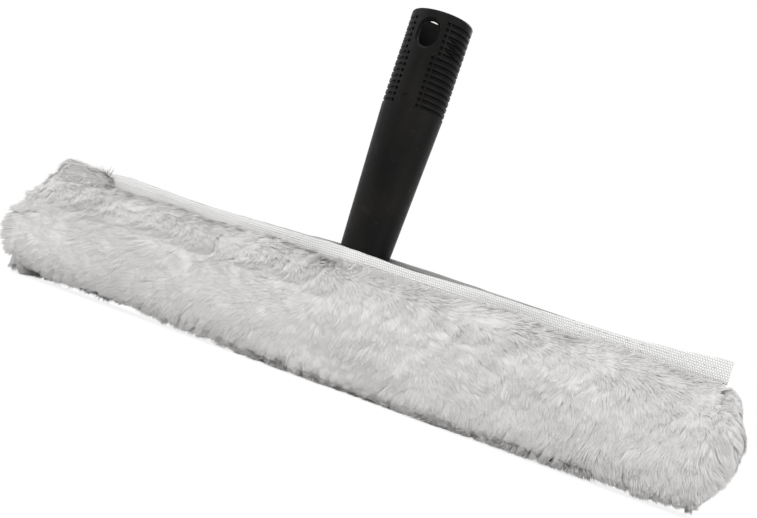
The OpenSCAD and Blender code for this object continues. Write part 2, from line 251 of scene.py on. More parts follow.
def cloth_material(name, thread, gap, depth):
    """Woven cloth whose yarns show as pale dots over gaps darkened with painted shade, and with painted
    shade dulling the threads towards the strip's top.
    """
    made, tree, shader = material(name)
    weave = use_group(tree, THREADS)
    grain = use_group(tree, GRAIN, {"Coarse": 700.0, "Fine": 4000.0})
    soiled = ramp(tree, noise(tree, object_place(tree), 60.0, 3.0).outputs["Fac"], 0.45, 0.75, 0.0, 0.15)
    # Painted shade: the threads turn towards the gap colour in the top rows of the strip.
    wear_and_top_shade = ramp(tree, weave.outputs["Row"], 9.0, 15.5, 0.0, 0.25)
    top_shaded_thread = blend_colours(tree, wear_and_top_shade, thread, gap)
    # Painted shade: the gaps between the yarns take the darker colour.
    woven = blend_colours(tree, weave.outputs["Mask"], gap, top_shaded_thread)
    fill(tree, shader, {
        "Base Color": blend_colours(tree, soiled, woven, gap),
        "Roughness": ramp(tree, weave.outputs["Mask"], 0.0, 1.0, 0.95, 0.7), "Sheen Weight": 0.2,
    })
    height = math_of(tree, "ADD", weave.outputs["Height"], times(tree, grain.outputs["Height"], 0.35))
    bumped(tree, shader, height, depth)
    return made


def handle_material():
    """Black polypropylene with a fine spark-eroded grain and lighter scuffs scattered over it."""
    made, tree, shader = material("handle_plastic")
    grain = use_group(tree, GRAIN, {"Coarse": 420.0, "Fine": 2400.0})
    place = object_place(tree)
    radius = vector_of(tree, "LENGTH", vector_of(tree, "MULTIPLY", place, (1, 1, 0)))
    grip_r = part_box("handle")[1].y
    on_grip = ramp(tree, xyz_of(tree, place)["Z"], 0.128, 0.134)
    sunk = ramp(tree, radius, grip_r - 0.7 * MM, grip_r - 0.1 * MM, 1.0, 0.0)
    in_groove = times(tree, on_grip, sunk)
    flow = noise(tree, vector_of(tree, "MULTIPLY", place, (90, 90, 25)), 1.0, 3.0).outputs["Fac"]
    scuffs = ramp(tree, noise(tree, place, 190.0, 4.0, 0.7).outputs["Fac"], 0.60, 0.72)
    darkest, lightest = (0.0020, 0.0019, 0.0018, 1), (0.0070, 0.0062, 0.0055, 1)
    base = blend_colours(tree, ramp(tree, flow, 0.35, 0.7), darkest, lightest)
    wear_and_top_shade = blend_colours(tree, times(tree, scuffs, 0.4), base, (0.022, 0.020, 0.018, 1))
    shadowed = blend_colours(tree, times(tree, in_groove, 0.5), wear_and_top_shade, (0.003, 0.003, 0.003, 1))
    uneven = ramp(tree, grain.outputs["Mask"], 0.0, 1.0, 0.36, 0.46)
    rough = math_of(tree, "ADD", uneven, times(tree, in_groove, 0.2))
    fill(tree, shader, {"Base Color": shadowed, "Roughness": rough, "Specular IOR Level": 0.13})
    bumped(tree, shader, grain.outputs["Height"], 0.12 * MM, 0.7)
    return made


def bar_material():
    """Dark grey moulded plastic of the bar and its plugs, with flow marks along the bar."""
    made, tree, shader = material("bar_plastic")
    grain = use_group(tree, GRAIN, {"Coarse": 260.0, "Fine": 1500.0})
    stretched = vector_of(tree, "MULTIPLY", object_place(tree), (12, 260, 260))
    streaks = noise(tree, stretched, 1.0, 3.0).outputs["Fac"]
    fill(tree, shader, {
        "Base Color": blend_colours(tree, ramp(tree, streaks, 0.3, 0.7), grey(0.035), grey(0.055)),
        "Roughness": ramp(tree, grain.outputs["Mask"], 0.0, 1.0, 0.42, 0.55),
    })
    bumped(tree, shader, grain.outputs["Height"], 0.08 * MM, 0.6)
    return made


def steel_material():
    """Zinc-plated steel with a fine uneven grain."""
    made, tree, shader = material("rivet_steel")
    grain = use_group(tree, GRAIN, {"Coarse": 900.0, "Fine": 5000.0})
    fill(tree, shader, {
        "Base Color": blend_colours(tree, grain.outputs["Mask"], grey(0.50), grey(0.62)),
        "Roughness": ramp(tree, grain.outputs["Mask"], 0.0, 1.0, 0.25, 0.42), "Metallic": 1.0,
    })
    bumped(tree, shader, grain.outputs["Height"], 0.03 * MM, 0.5)
    return made


def thread_material(name, light, dark):
    """Twisted thread: slanting plies along each stitch, hook or loop, with painted shade in the grooves
    between the plies.
    """
    made, tree, shader = material(name)
    place = object_place(tree)
    parts = xyz_of(tree, place)
    slant = math_of(tree, "ADD", parts["X"], times(tree, parts["Z"], 1.3))
    ply = math_of(tree, "SINE", times(tree, slant, 2 * math.pi / (0.35 * MM)))
    ply = ramp(tree, ply, -1.0, 0.6)
    fuzz = noise(tree, place, 2500.0, 2.0).outputs["Fac"]
    fill(tree, shader, {
        # Painted shade: the grooves between the plies take the darker colour.
        "Base Color": blend_colours(tree, ply, dark, light),
        "Roughness": ramp(tree, fuzz, 0.3, 0.7, 0.6, 0.85), "Sheen Weight": 0.15,
    })
    bumped(tree, shader, ply, 0.06 * MM)
    return made


PLUSH = plush_material()
HEM_CLOTH = cloth_material("hem_weave", grey(0.99), grey(0.64, 0.01), 0.06 * MM)
# Painted shade: the rear hem is a darker, shaded copy of the front hem's weave.
SHADED_REAR_CLOTH = cloth_material("rear_hem_weave", grey(0.60), grey(0.28, 0.015), 0.06 * MM)
LINING = cloth_material("lining_weave", grey(0.78, 0.01), grey(0.52, 0.015), 0.05 * MM)
THREAD = thread_material("sewing_thread", grey(0.97), grey(0.88))
HOOK_NYLON = thread_material("hook_nylon", grey(0.20), grey(0.10))
LOOP_NYLON = thread_material("loop_nylon", grey(0.74), grey(0.5))


# Meshes

def linked(name, data):
    """A new object in the scene."""
    made = bpy.data.objects.new(name, data)
    bpy.context.scene.collection.objects.link(made)
    return made


def mesh_object(name, points, faces, finish):
    mesh = bpy.data.meshes.new(name)
    mesh.from_pydata([tuple(p) for p in points], [], [tuple(f) for f in faces])
    mesh.update()
    mesh.materials.append(finish)
    return linked(name, mesh)


def set_attribute(made, name, values, kind="FLOAT"):
    values = np.asarray(values, np.float32)
    attribute = made.data.attributes.new(name, kind, "POINT")
    attribute.data.foreach_set("vector" if kind == "FLOAT_VECTOR" else "value", values.ravel())


def grid_faces(rows, columns, closed=False):
    """Quads between points that are stored row by row; closed joins the last column to the first."""
    last = columns if closed else columns - 1
    faces = []
    for start in range(0, (rows - 1) * columns, columns):
        for c in range(last):
            after = (c + 1) % columns
            faces.append((start + c, start + after, start + columns + after, start + columns + c))
    return faces


def tube_faces(rows, columns):
    """Quads round a closed tube, with one face over each end."""
    first = tuple(range(columns))
    last = tuple(range(rows * columns - 1, (rows - 1) * columns - 1, -1))
    return grid_faces(rows, columns, closed=True) + [first, last]


def finished(made):
    """Turns an object with modifiers into a plain mesh, and removes the modifiers."""
    graph = bpy.context.evaluated_depsgraph_get()
    mesh = bpy.data.meshes.new_from_object(made.evaluated_get(graph), depsgraph=graph)
    made.modifiers.clear()
    made.data = mesh
    mesh.name = made.name
    return made


def smoothed(made):
    for polygon in made.data.polygons:
        polygon.use_smooth = True


def thickened(made, thickness):
    """Gives a single layer of cloth its thickness, inwards, so that it is one closed shell."""
    solidify = made.modifiers.new("Thickness", "SOLIDIFY")
    solidify.thickness = thickness
    solidify.offset = -1
    solidify.use_even_offset = False
    smoothed(finished(made))


def faced_outward(made, score):
    """Turns the faces round if their score, which is positive for outward ones, is below 0."""
    if score < 0:
        made.data.flip_normals()
        made.data.update()


def dressed(made, body, slot, *nodes):
    """Sets the body that a piece rides on and hides the CAD nodes that it stands for; slot is not used."""
    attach(made, body)
    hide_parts(*nodes)
    return made


def sampled(made, what):
    """What each vertex holds, such as co or normal, as rows of numbers."""
    return np.array([getattr(vertex, what) for vertex in made.data.vertices], float)


# Plush section and its lumps

def step_up(value, start, width):
    """0 below a start and 1 past a width above it; a width below 0 turns it round."""
    return np.clip((value - start) / width, 0, 1)


def cubic(points, steps):
    """Points along a Bezier curve with four control points."""
    t = np.linspace(0, 1, steps)[:, None]
    p = np.array(points, float)
    return (1 - t) ** 3 * p[0] + 3 * t * (1 - t) ** 2 * p[1] + 3 * t * t * (1 - t) * p[2] + t**3 * p[3]


def spaced(points, count):
    """The same line through evenly spaced points."""
    run = np.concatenate([[0], np.cumsum(np.linalg.norm(np.diff(points, axis=0), axis=1))])
    places = np.linspace(0, run[-1], count)
    return np.column_stack([np.interp(places, run, points[:, k]) for k in range(points.shape[1])])


def line_at(points, x):
    """The height of a line through points at x."""
    xs, zs = zip(*points)
    return float(np.interp(x, xs, zs))


def part_way(a, b):
    return a + (b - a) * ROUNDNESS


def half_section(top_y, count):
    """One side of the plush in (y, z), from the middle of the sole up to the lip of the slit."""
    foot = FOOT_WIDTH / 2
    lower = cubic([
        (foot, 0), (part_way(foot, HALF_DEPTH), 0),
        (HALF_DEPTH, BELLY_Z * (1 - ROUNDNESS)), (HALF_DEPTH, BELLY_Z),
    ], 24)
    upper = cubic([
        (HALF_DEPTH, BELLY_Z), (HALF_DEPTH, part_way(BELLY_Z, PILE_TOP)),
        (part_way(top_y, HALF_DEPTH), PILE_TOP - SHOULDER_DROP), (top_y, PILE_TOP),
    ], 32)
    return spaced(np.vstack([[(0, 0)], lower, upper[1:]]), count)


def inset_section(top_y, inset, count):
    """The same side drawn in by the pile's thickness, with the lip kept at the slit."""
    line = half_section(top_y, count)
    step = np.gradient(line, axis=0)
    step /= np.linalg.norm(step, axis=1)[:, None]
    inward = np.column_stack([-step[:, 1], step[:, 0]])
    near_top = step_up(line[:, 1], 0.75 * PILE_TOP, 0.2 * PILE_TOP)
    moved = line + inward * (inset * (1 - 0.55 * near_top))[:, None]
    moved[0] = (0, inset)
    moved[:, 0] = np.clip(moved[:, 0], 0, None)
    low = moved[:, 0] < top_y
    moved[low & (moved[:, 1] > BELLY_Z), 0] = top_y
    return moved


def tangent_angle(x, y, r, side):
    return math.atan2(y, x) + side * math.acos(r / math.hypot(x, y))


def slit_half(x, offset):
    """Distance from the middle of the slit to its edge, at an offset from the hems' inner faces."""
    radius = SLIT_R + offset
    left_y = SEWN_Y + offset
    right_y = TAPE_Y + offset
    a = tangent_angle(-SLIT_LEFT, left_y, radius, -1)
    b = tangent_angle(SLIT_RIGHT, right_y, radius, 1)
    xa, xb = radius * math.cos(a), radius * math.cos(b)
    if x <= -SLIT_LEFT:
        return left_y
    if x < xa:
        return left_y + (radius * math.sin(a) - left_y) * (x + SLIT_LEFT) / (xa + SLIT_LEFT)
    if x <= xb:
        return math.sqrt(radius**2 - x**2)
    if x < SLIT_RIGHT:
        return radius * math.sin(b) + (right_y - radius * math.sin(b)) * (x - xb) / (SLIT_RIGHT - xb)
    return right_y


def near(x, z, at_x, at_z, wide, high):
    """A smooth hill of height 1 at a place on the front or back."""
    return np.exp(-(((x - at_x) / wide) ** 2) - ((z - at_z) / high) ** 2)


def waves(x, z, seed, length):
    """Smooth lumps of about height 1 with the given wavelength."""
    rng = np.random.default_rng(seed)
    total = np.zeros_like(x)
    for _ in range(7):
        angle, phase = rng.uniform(0, 2 * math.pi, 2)
        k = 2 * math.pi / (length * rng.uniform(0.75, 1.5))
        total += np.sin(k * (x * math.cos(angle) + z * math.sin(angle)) + phase)
    return total / 3.0


def along_line(x, z, line, wide):
    """A smooth ridge of height 1 along a line of (x, z) points."""
    best = np.full_like(x, 1e9)
    for (x0, z0), (x1, z1) in zip(line[:-1], line[1:]):
        dx, dz = x1 - x0, z1 - z0
        t = np.clip(((x - x0) * dx + (z - z0) * dz) / (dx * dx + dz * dz), 0, 1)
        best = np.minimum(best, np.hypot(x - x0 - t * dx, z - z0 - t * dz))
    return np.exp(-((best / wide) ** 2))


# Two creases on the front below the flap, as (x, z) points in metres
CREASES = [
    [(0.048, 0.0445), (0.055, 0.0415), (0.0615, 0.0415)],
    [(0.067, 0.0440), (0.077, 0.0415), (0.089, 0.0490)],
]
CREASE_WIDTH = 2 * MM
CREASE_DEPTH = 1.1

# How far the pile's foot is tucked in at each x along the bar
TUCK_X = (-0.168, -0.075, -0.035, -0.010, 0.060, 0.100, 0.168)
TUCK = (4.6 * MM, 4.8 * MM, -1.0 * MM, -1.8 * MM, -1.4 * MM, 0.8 * MM, 2.8 * MM)


def relief(x, y, z):
    """How far the plush stands out from its plain section, in metres."""
    front = y < 0
    lumps = 0.8 * waves(x, z + np.where(front, 0, 0.2), 3, 0.045) + 0.14 * waves(x, z, 8, 0.018)
    bump = 1.6 * near(x, z, 0.075, 0.0505, 0.011, 0.005)
    dents = sum(CREASE_DEPTH * along_line(x, z, line, CREASE_WIDTH) for line in CREASES)
    tucked = np.interp(x, TUCK_X, TUCK) * np.exp(-((z / 0.010) ** 2))
    under_flap = step_up(x, FLAP_LOW.x - 6 * MM, 6 * MM) * step_up(z, 0.050, 0.004)
    pressed = 0.3 * MM * under_flap * front
    return MM * (lumps * step_up(z, 0, 0.012) + np.where(front, bump - dents, 0)) - tucked - pressed


def flow_angle(x, z, front):
    """Direction in which the pile is brushed, in degrees from straight down towards +X."""
    wave = 26 * waves(x, z, 21, 0.055) + 16 * waves(x, z, 5, 0.022)
    lean = -18 + 30 * np.clip(x / 0.16, -1, 1)
    swirl = 70 * near(x, z, 0.052, 0.030, 0.022, 0.018) - 55 * near(x, z, -0.060, 0.030, 0.030, 0.016)
    return np.where(front, lean + wave + swirl, wave)


# Pile

def strand_group():
    """Scatters tapered strands over a cloth, leans them along its flow, and draws them into locks."""
    number = "NodeSocketFloat"
    inputs = [
        ("Cloth", "NodeSocketGeometry"),
        ("Density", number, TUFT_DENSITY),
        ("Length", number, TUFT_LENGTH),
        ("Width", number, TUFT_WIDTH),
        ("Lock spacing", number, LOCK_SPACING),
        ("From", number, -1.0),
        ("To", number, 1.0),
        ("Floor", number, 0.0003),
        ("Cells", number, 225.0),
        ("Seed", "NodeSocketInt", 1),
        ("Finish", "NodeSocketMaterial"),
    ]
    outputs = [("Pile", "NodeSocketGeometry")]
    tree, source, sink = group_tree("Plush strands", "GeometryNodeTree", inputs, outputs)
    given = source.outputs
    position = add(tree, "GeometryNodeInputPosition").outputs[0]

    def stored(geometry, name, value, kind, domain):
        inputs = {"Geometry": geometry, "Name": name, "Value": value}
        kinds = {"data_type": kind, "domain": domain}
        return add(tree, "GeometryNodeStoreNamedAttribute", inputs, **kinds).outputs[0]

    def chance(low, high, seed, number_of=None, kind="FLOAT"):
        inputs = {"Min": low, "Max": high, "Seed": seed}
        if number_of is not None:
            inputs["ID"] = number_of
        return add(tree, "FunctionNodeRandomValue", inputs, data_type=kind).outputs["Value"]

    def scatter(spread, seed, number_of=None):
        return chance((-spread,) * 3, (spread,) * 3, seed, number_of, "FLOAT_VECTOR")

    # One guide in the middle of each lock, the same for every slice of the cloth
    guides = add(tree, "GeometryNodeDistributePointsOnFaces", {
        "Mesh": given["Cloth"], "Distance Min": given["Lock spacing"],
        "Density Max": LOCK_DENSITY, "Seed": 7,
    }, distribute_method="POISSON").outputs["Points"]

    x = xyz_of(tree, position)["X"]
    inside = add(tree, "FunctionNodeBooleanMath", {
        0: math_of(tree, "GREATER_THAN", x, given["From"]),
        1: math_of(tree, "LESS_THAN", x, given["To"]),
    }, operation="AND").outputs[0]
    strewn = add(tree, "GeometryNodeDistributePointsOnFaces", {
        "Mesh": given["Cloth"], "Selection": inside, "Seed": given["Seed"],
        "Density": times(tree, given["Density"], named(tree, "cover")),
    }, distribute_method="RANDOM")

    # What each strand takes from the cloth and from its lock
    nearest = add(tree, "GeometryNodeSampleNearest", {
        "Geometry": guides, "Sample Position": position,
    }).outputs[0]
    middle = add(tree, "GeometryNodeSampleIndex", {
        "Geometry": guides, "Value": position, "Index": nearest,
    }, data_type="FLOAT_VECTOR").outputs["Value"]
    up = strewn.outputs["Normal"]
    lock_turn = scatter(0.30, 11, nearest)
    own_turn = scatter(0.13, 12)
    turns = vector_of(tree, "ADD", lock_turn, own_turn)
    out_of_plane = vector_of(tree, "SCALE", up, vector_of(tree, "DOT_PRODUCT", turns, up))
    turns = vector_of(tree, "SUBTRACT", turns, out_of_plane)
    flow = vector_of(tree, "ADD", named(tree, "flow", "FLOAT_VECTOR"), turns)
    lift = times(tree, named(tree, "lift"), chance(0.8, 1.25, 13))
    lean = vector_of(tree, "NORMALIZE", vector_of(tree, "ADD", flow, vector_of(tree, "SCALE", up, lift)))
    size = times(tree, named(tree, "reach"), chance(0.82, 1.12, 14))
    size = times(tree, size, chance(0.92, 1.06, 15, nearest))
    reach = times(tree, given["Length"], size)
    width = times(tree, given["Width"], chance(0.65, 1.3, 16))
    pull = vector_of(tree, "SCALE", vector_of(tree, "SUBTRACT", middle, position), named(tree, "draw"))
    tint = math_of(tree, "ADD", chance(0.0, 0.6, 17), chance(0.0, 0.4, 18, nearest))

    points = strewn.outputs["Points"]
    for label, value in (("up", up), ("lean", lean), ("pull", pull)):
        points = stored(points, label, value, "FLOAT_VECTOR", "POINT")
    index = add(tree, "GeometryNodeInputIndex").outputs[0]
    for label, value in (
        ("strand_length", reach), ("strand_width", width), ("tint", tint), ("cell", index),
    ):
        points = stored(points, label, value, "FLOAT", "POINT")

    # One strand: a three-sided spike of height 1
    cone = add(tree, "GeometryNodeMeshCone", {
        "Vertices": 3, "Side Segments": 1, "Radius Top": 0.0, "Radius Bottom": 0.5, "Depth": 1.0,
    }, fill_type="NGON")
    high = xyz_of(tree, position)["Z"]
    spike = stored(cone.outputs["Mesh"], "along", high, "FLOAT", "POINT")
    spike = stored(spike, "patch", cone.outputs["UV Map"], "FLOAT_VECTOR", "CORNER")

    turn = add(tree, "FunctionNodeAxesToRotation", {
        "Primary Axis": named(tree, "lean", "FLOAT_VECTOR"),
        "Secondary Axis": named(tree, "up", "FLOAT_VECTOR"),
    }, primary_axis="Z", secondary_axis="X").outputs[0]
    wide = named(tree, "strand_width")
    scale = vector_from(tree, times(tree, wide, 0.10), wide, named(tree, "strand_length"))
    planted = add(tree, "GeometryNodeInstanceOnPoints", {
        "Points": points, "Instance": spike, "Rotation": turn, "Scale": scale,
    }).outputs[0]
    coat = add(tree, "GeometryNodeRealizeInstances", {"Geometry": planted}).outputs[0]

    # Draw each strand's tip to the middle of its lock, and let the tips waver
    along = named(tree, "along")
    gather = vector_of(tree, "SCALE", named(tree, "pull", "FLOAT_VECTOR"), along)
    stir = noise(tree, position, 170.0, 1.0).outputs["Color"]
    stir = vector_of(tree, "SUBTRACT", stir, (0.5, 0.5, 0.5))
    stir = vector_of(tree, "SCALE", stir, times(tree, along, 1 * MM))
    moved = vector_of(tree, "ADD", position, vector_of(tree, "ADD", gather, stir))
    parts = xyz_of(tree, moved)
    clear = vector_from(tree, parts["X"], parts["Y"], math_of(tree, "MAXIMUM", parts["Z"], given["Floor"]))
    shaped = add(tree, "GeometryNodeSetPosition", {"Geometry": coat, "Position": clear}).outputs[0]

    # One cell of the UV map for each strand
    patch = xyz_of(tree, named(tree, "patch", "FLOAT_VECTOR"))
    cell = named(tree, "cell")
    across = math_of(tree, "FLOORED_MODULO", cell, given["Cells"])
    down = math_of(tree, "FLOOR", math_of(tree, "DIVIDE", cell, given["Cells"]))

    def in_cell(number_of, share):
        inside_cell = math_of(tree, "ADD", times(tree, share, 0.9), 0.05)
        return math_of(tree, "DIVIDE", math_of(tree, "ADD", number_of, inside_cell), given["Cells"])

    unwrapped = vector_from(tree, in_cell(across, patch["X"]), in_cell(down, patch["Y"]), 0.0)
    shaped = stored(shaped, "OFBake", unwrapped, "FLOAT2", "CORNER")
    for spent in (
        "up", "lean", "pull", "strand_length", "strand_width", "cell", "patch", "flow", "lift", "reach",
        "draw", "cover",
    ):
        shaped = add(tree, "GeometryNodeRemoveAttribute", {"Geometry": shaped, "Name": spent}).outputs[0]
    flat = add(tree, "GeometryNodeSetShadeSmooth", {"Geometry": shaped, "Shade Smooth": False}).outputs[0]
    painted = add(tree, "GeometryNodeSetMaterial", {"Geometry": flat, "Material": given["Finish"]})
    fill(tree, sink, {"Pile": painted.outputs[0]})
    return tree


STRANDS = strand_group()


def grown(made, group, values):
    """Runs a node group on an object with the given inputs, and keeps the result as a plain mesh."""
    modifier = made.modifiers.new(group.name, "NODES")
    modifier.node_group = group
    sockets = {s.name: s.identifier for s in group.interface.items_tree if s.in_out == "INPUT"}
    for label, value in values.items():
        modifier[sockets[label]] = value
    return finished(made)


def grown_pile(name, cloth, node, **values):
    """A piece of pile on a cloth, which stands for a CAD node."""
    made = grown(linked(name, cloth.data.copy()), STRANDS, {"Finish": PLUSH, **values})
    return dressed(made, "scrubber", "plush", node)


def along_cloth(wanted, normals):
    """The wanted directions turned into the cloth's plane, shortened where they stand up from it."""
    tangent = wanted - normals * np.sum(wanted * normals, axis=1)[:, None]
    return tangent / np.maximum(np.linalg.norm(tangent, axis=1), 0.3)[:, None]


def brushed(made, normals, side_of):
    """Stores the flow, lift, reach and draw of the pile at each point of a cloth."""
    points = sampled(made, "co")
    x, y, z = points.T
    top = step_up(z, PILE_TOP - 14 * MM, 11 * MM)
    lip = step_up(z, PILE_TOP - 4.5 * MM, 2.5 * MM)
    sole = step_up(z, 8 * MM, -8 * MM)
    low = step_up(z, 16 * MM, -12 * MM)
    edge = step_up(np.abs(x), 150 * MM, 20 * MM)
    outward = step_up(np.abs(x), 160 * MM, 15 * MM) * np.sign(x)
    belly = np.exp(-(((z - BELLY_Z) / (15 * MM)) ** 2))
    slit = np.array([slit_half(place, HEM_THICK) for place in x])
    room = np.clip((np.abs(y) - slit - 0.5 * MM) / (6.5 * MM), 0.3, 1)
    short = np.where(z > PILE_TOP - 7 * MM, 1 - room, 0)

    # Down the sides, along the bar near the hems, in over the lips, and out over the ends
    angle = np.radians(flow_angle(x, z, side_of < 0) * (1 - 0.6 * top) + 120 * top)
    wanted = np.column_stack([
        np.sin(angle) + outward * (0.4 + 0.8 * belly), (1.5 * sole - 0.6 * lip) * side_of, -np.cos(angle),
    ])
    ends = edge * (0.20 * belly - 0.45 * (1 - belly) - np.where(x > 0, 0.15, 0))
    set_attribute(made, "flow", along_cloth(wanted, normals), "FLOAT_VECTOR")
    set_attribute(made, "lift", 0.135 + 0.09 * edge + 0.10 * low + 0.9 * short - 0.07 * sole)
    set_attribute(made, "reach", (1.0 + ends) * (1 - short))
    set_attribute(made, "cover", np.where(side_of < 0, 1.0, 0.75) * (1 - 0.6 * sole))
    set_attribute(made, "draw", 0.12 + 0.30 * np.maximum(edge, low))


def cover_cloth():
    """The cloth under the pile, from the front lip of the slit round the sole to the rear lip."""
    columns = 168
    rows = 26
    xs = np.linspace(-BODY_X, BODY_X, columns + 1)
    points, sides = [], []
    for x in xs:
        half = inset_section(slit_half(x, HEM_THICK) + LIP, CLOTH_INSET, rows)
        front = [(x, -p[0], p[1]) for p in half[::-1]]
        rear = [(x, p[0], p[1]) for p in half[1:]]
        points += front + rear
        sides += [-1] * (rows - 1) + [0] + [1] * (rows - 1)
    made = mesh_object("pile_cloth", points, grid_faces(columns + 1, 2 * rows - 1), PLUSH)
    return made, np.array(sides, float)


def lumpy(made):
    """Moves a cloth's points out along their normals by the relief of the plush."""
    points = sampled(made, "co")
    normals = sampled(made, "normal")
    moved = points + normals * relief(*points.T)[:, None]
    moved[:, 2] = np.maximum(moved[:, 2], 1.5 * MM)
    made.data.vertices.foreach_set("co", moved.astype(np.float32).ravel())
    made.data.update()
    return normals


def round_bar(made):
    """How far one face on the side of an open cloth looks away from the bar."""
    face = made.data.polygons[len(made.data.polygons) // 3]
    return face.normal.dot((0, face.center.y, face.center.z - 28 * MM))


def corner_cloth():
    """The rounded corner that wraps the hems' left end, boxy along X and higher at its left."""
    centre = Vector((-154.5, 0, 55)) * MM
    radii = Vector((15.5, 9.5, 8.4)) * MM
    rows, columns = 18, 36
    points = []
    for i in range(1, rows):
        a = math.pi * i / rows
        for k in range(columns):
            b = 2 * math.pi * k / columns
            away = math.sin(a) * math.cos(b)
            boxy = math.copysign(abs(away) ** 0.6, away)
            rise = math.cos(a) - 0.24 * boxy * max(0, math.cos(a))
            way = (boxy, math.sin(a) * math.sin(b), rise)
            points.append([c + r * w for c, r, w in zip(centre, radii, way)])
    made = mesh_object("corner_cloth", points, tube_faces(rows - 1, columns), PLUSH)
    faced_outward(made, sum((f.center - centre).dot(f.normal) for f in made.data.polygons))
    return made


def make_corner():
    cloth = corner_cloth()
    normals = sampled(cloth, "normal")
    down_left = np.tile((-0.5, 0.0, -1.0), (len(normals), 1))
    set_attribute(cloth, "flow", along_cloth(down_left, normals), "FLOAT_VECTOR")
    for name, value in (("lift", 0.16), ("reach", 0.8), ("draw", 0.15), ("cover", 1.0)):
        set_attribute(cloth, name, np.full(len(normals), value))
    tuft = grown_pile("corner_pile", cloth, "pile_cover", Seed=70)
    smoothed(cloth)
    return [dressed(cloth, "scrubber", "plush", "pile_cover"), tuft]


def make_cover():
    cloth, sides = cover_cloth()
    faced_outward(cloth, round_bar(cloth))
    brushed(cloth, lumpy(cloth), sides)
    tufts = []
    span = 2 * BODY_X / SLICES
    for number in range(SLICES):
        start = -BODY_X + number * span
        tufts.append(grown_pile(
            f"cover_pile_{number + 1}", cloth, "pile_cover", From=start, To=start + span, Seed=40 + number,
        ))
    tufts += make_corner()
    thickened(cloth, CLOTH_THICK)
    dressed(cloth, "scrubber", "plush", "pile_cover")


# How far the left end (-1) and the right end (1) bulge at a height, as a share of the dome's depth
END_BULGE = {
    -1: [
        (0, 0.05), (0.006, 0.1), (0.010, 0.38), (0.016, 0.7), (0.026, 0.9), (0.036, 0.6), (0.048, 0.3),
        (0.060, 0.1),
    ],
    1: [
        (0, 0.3), (0.004, 0.5), (0.012, 0.65), (0.021, 1.1), (0.030, 1.3), (0.038, 1.3), (0.045, 0.95),
        (0.054, 0.95), (0.060, 1.15),
    ],
}


def make_end(side, node, name):
    """A domed end cloth with its pile; side is -1 on the left and 1 on the right."""
    rows, rings = 26, 9
    half = half_section(LIP, rows)
    outline = np.vstack([-half[::-1] * (1, -1), half[1:]])
    middle = np.array((0, DOME_MIDDLE))
    depth = END_X - BODY_X - CLOTH_INSET * 0.6
    points = []
    for number in range(rings):
        a = math.pi / 2 * number / (rings - 1)
        k = DOME_FLAT * math.sin(a) + math.cos(a) * (1 - CLOTH_INSET / HALF_DEPTH)
        if number == rings - 1:
            k = DOME_TIP
        for y, z in middle + k * (outline - middle):
            bulge = line_at(END_BULGE[side], z)
            points.append((side * (BODY_X + depth * bulge * math.sin(a)), y, max(z, 2 * MM)))
    columns = len(outline)
    faces = grid_faces(rings, columns, closed=True)
    faces.append(tuple(range((rings - 1) * columns, rings * columns)))
    cloth = mesh_object(name + "_cloth", points, faces, PLUSH)
    faced_outward(cloth, side * sum(f.normal.x * f.area for f in cloth.data.polygons))
    normals = lumpy(cloth)
    brushed(cloth, normals, np.sign(sampled(cloth, "co")[:, 1]))
    tuft = grown_pile(name + "_pile", cloth, node, Seed=60 + side)
    thickened(cloth, CLOTH_THICK)
    dressed(cloth, "scrubber", "plush", node)


# Woven strips

# The front hem's top edge along the bar, as (x, z) points in metres
RIDGE = [
    (-0.168, 0.0600), (-0.150, 0.0620), (-0.132, 0.0636), (-0.087, 0.0618), (-0.019, 0.0632), (0.0, 0.0624),
    (0.028, 0.0615), (0.057, 0.0626), (0.095, 0.0626), (0.126, 0.0628), (0.150, 0.0645), (0.168, 0.0664),
]
# How far the rear hem's edge shows above the front one
REAR_RISE = [
    (-0.168, 0.0), (-0.030, 0.0002), (0.0, 0.0026), (0.028, 0.0032), (0.060, 0.0012), (0.110, 0.0),
    (0.168, 0.0),
]


def weave_map(made, places):
    """Stores the UV map of the weave, which counts crossings, from one place for each vertex."""
    layer = made.data.uv_layers.new(name="Weave")
    corners = np.zeros(len(made.data.loops), np.int32)
    made.data.loops.foreach_get("vertex_index", corners)
    layer.data.foreach_set("uv", np.array(places, np.float32)[corners].ravel())


def woven_strip(name, x0, x1, bottom, top, middle_y, thickness, finish=HEM_CLOTH):
    """A closed woven band along X, whose faces carry raised crossings and meet in a rounded edge.

    bottom, top and middle_y give its edges and its middle plane at x.
    """
    across = 40
    columns = int((x1 - x0) / (WEAVE_PITCH / 5))
    xs = np.linspace(x0, x1, columns + 1)
    loop_t = np.linspace(0, 1, across, endpoint=False)
    rng = np.random.default_rng(len(name))
    drift = np.interp(xs, np.linspace(x0, x1, 60), rng.normal(0, 0.12 * MM, 60))
    points, uv = [], []
    for x, wander in zip(xs, drift):
        low, high = bottom(x), top(x) + wander * 0.6
        height = high - low
        y_mid = middle_y(x)
        for t in loop_t:
            front = t < 0.5
            s = t * 2 if front else 2 - t * 2
            z = low + height * s
            rim = min(1.0, min(s, 1 - s) * height / (0.45 * MM)) ** 0.5
            u, v = x / WEAVE_PITCH, s * height / WEAVE_PITCH
            knot = abs(math.sin(math.pi * (u + 0.5 * (math.floor(v) % 2)))) * abs(math.sin(math.pi * v))
            half = thickness / 2 * rim * (0.62 + 0.38 * knot)
            y = y_mid + wander + (-half if front else half)
            points.append((x, y, z))
            uv.append((u, v))
    made = mesh_object(name, points, tube_faces(columns + 1, across), finish)
    weave_map(made, uv)
    made.data.validate()
    faced_outward(made, sum(f.center.dot(f.normal) * f.area for f in made.data.polygons))
    smoothed(made)
    return made


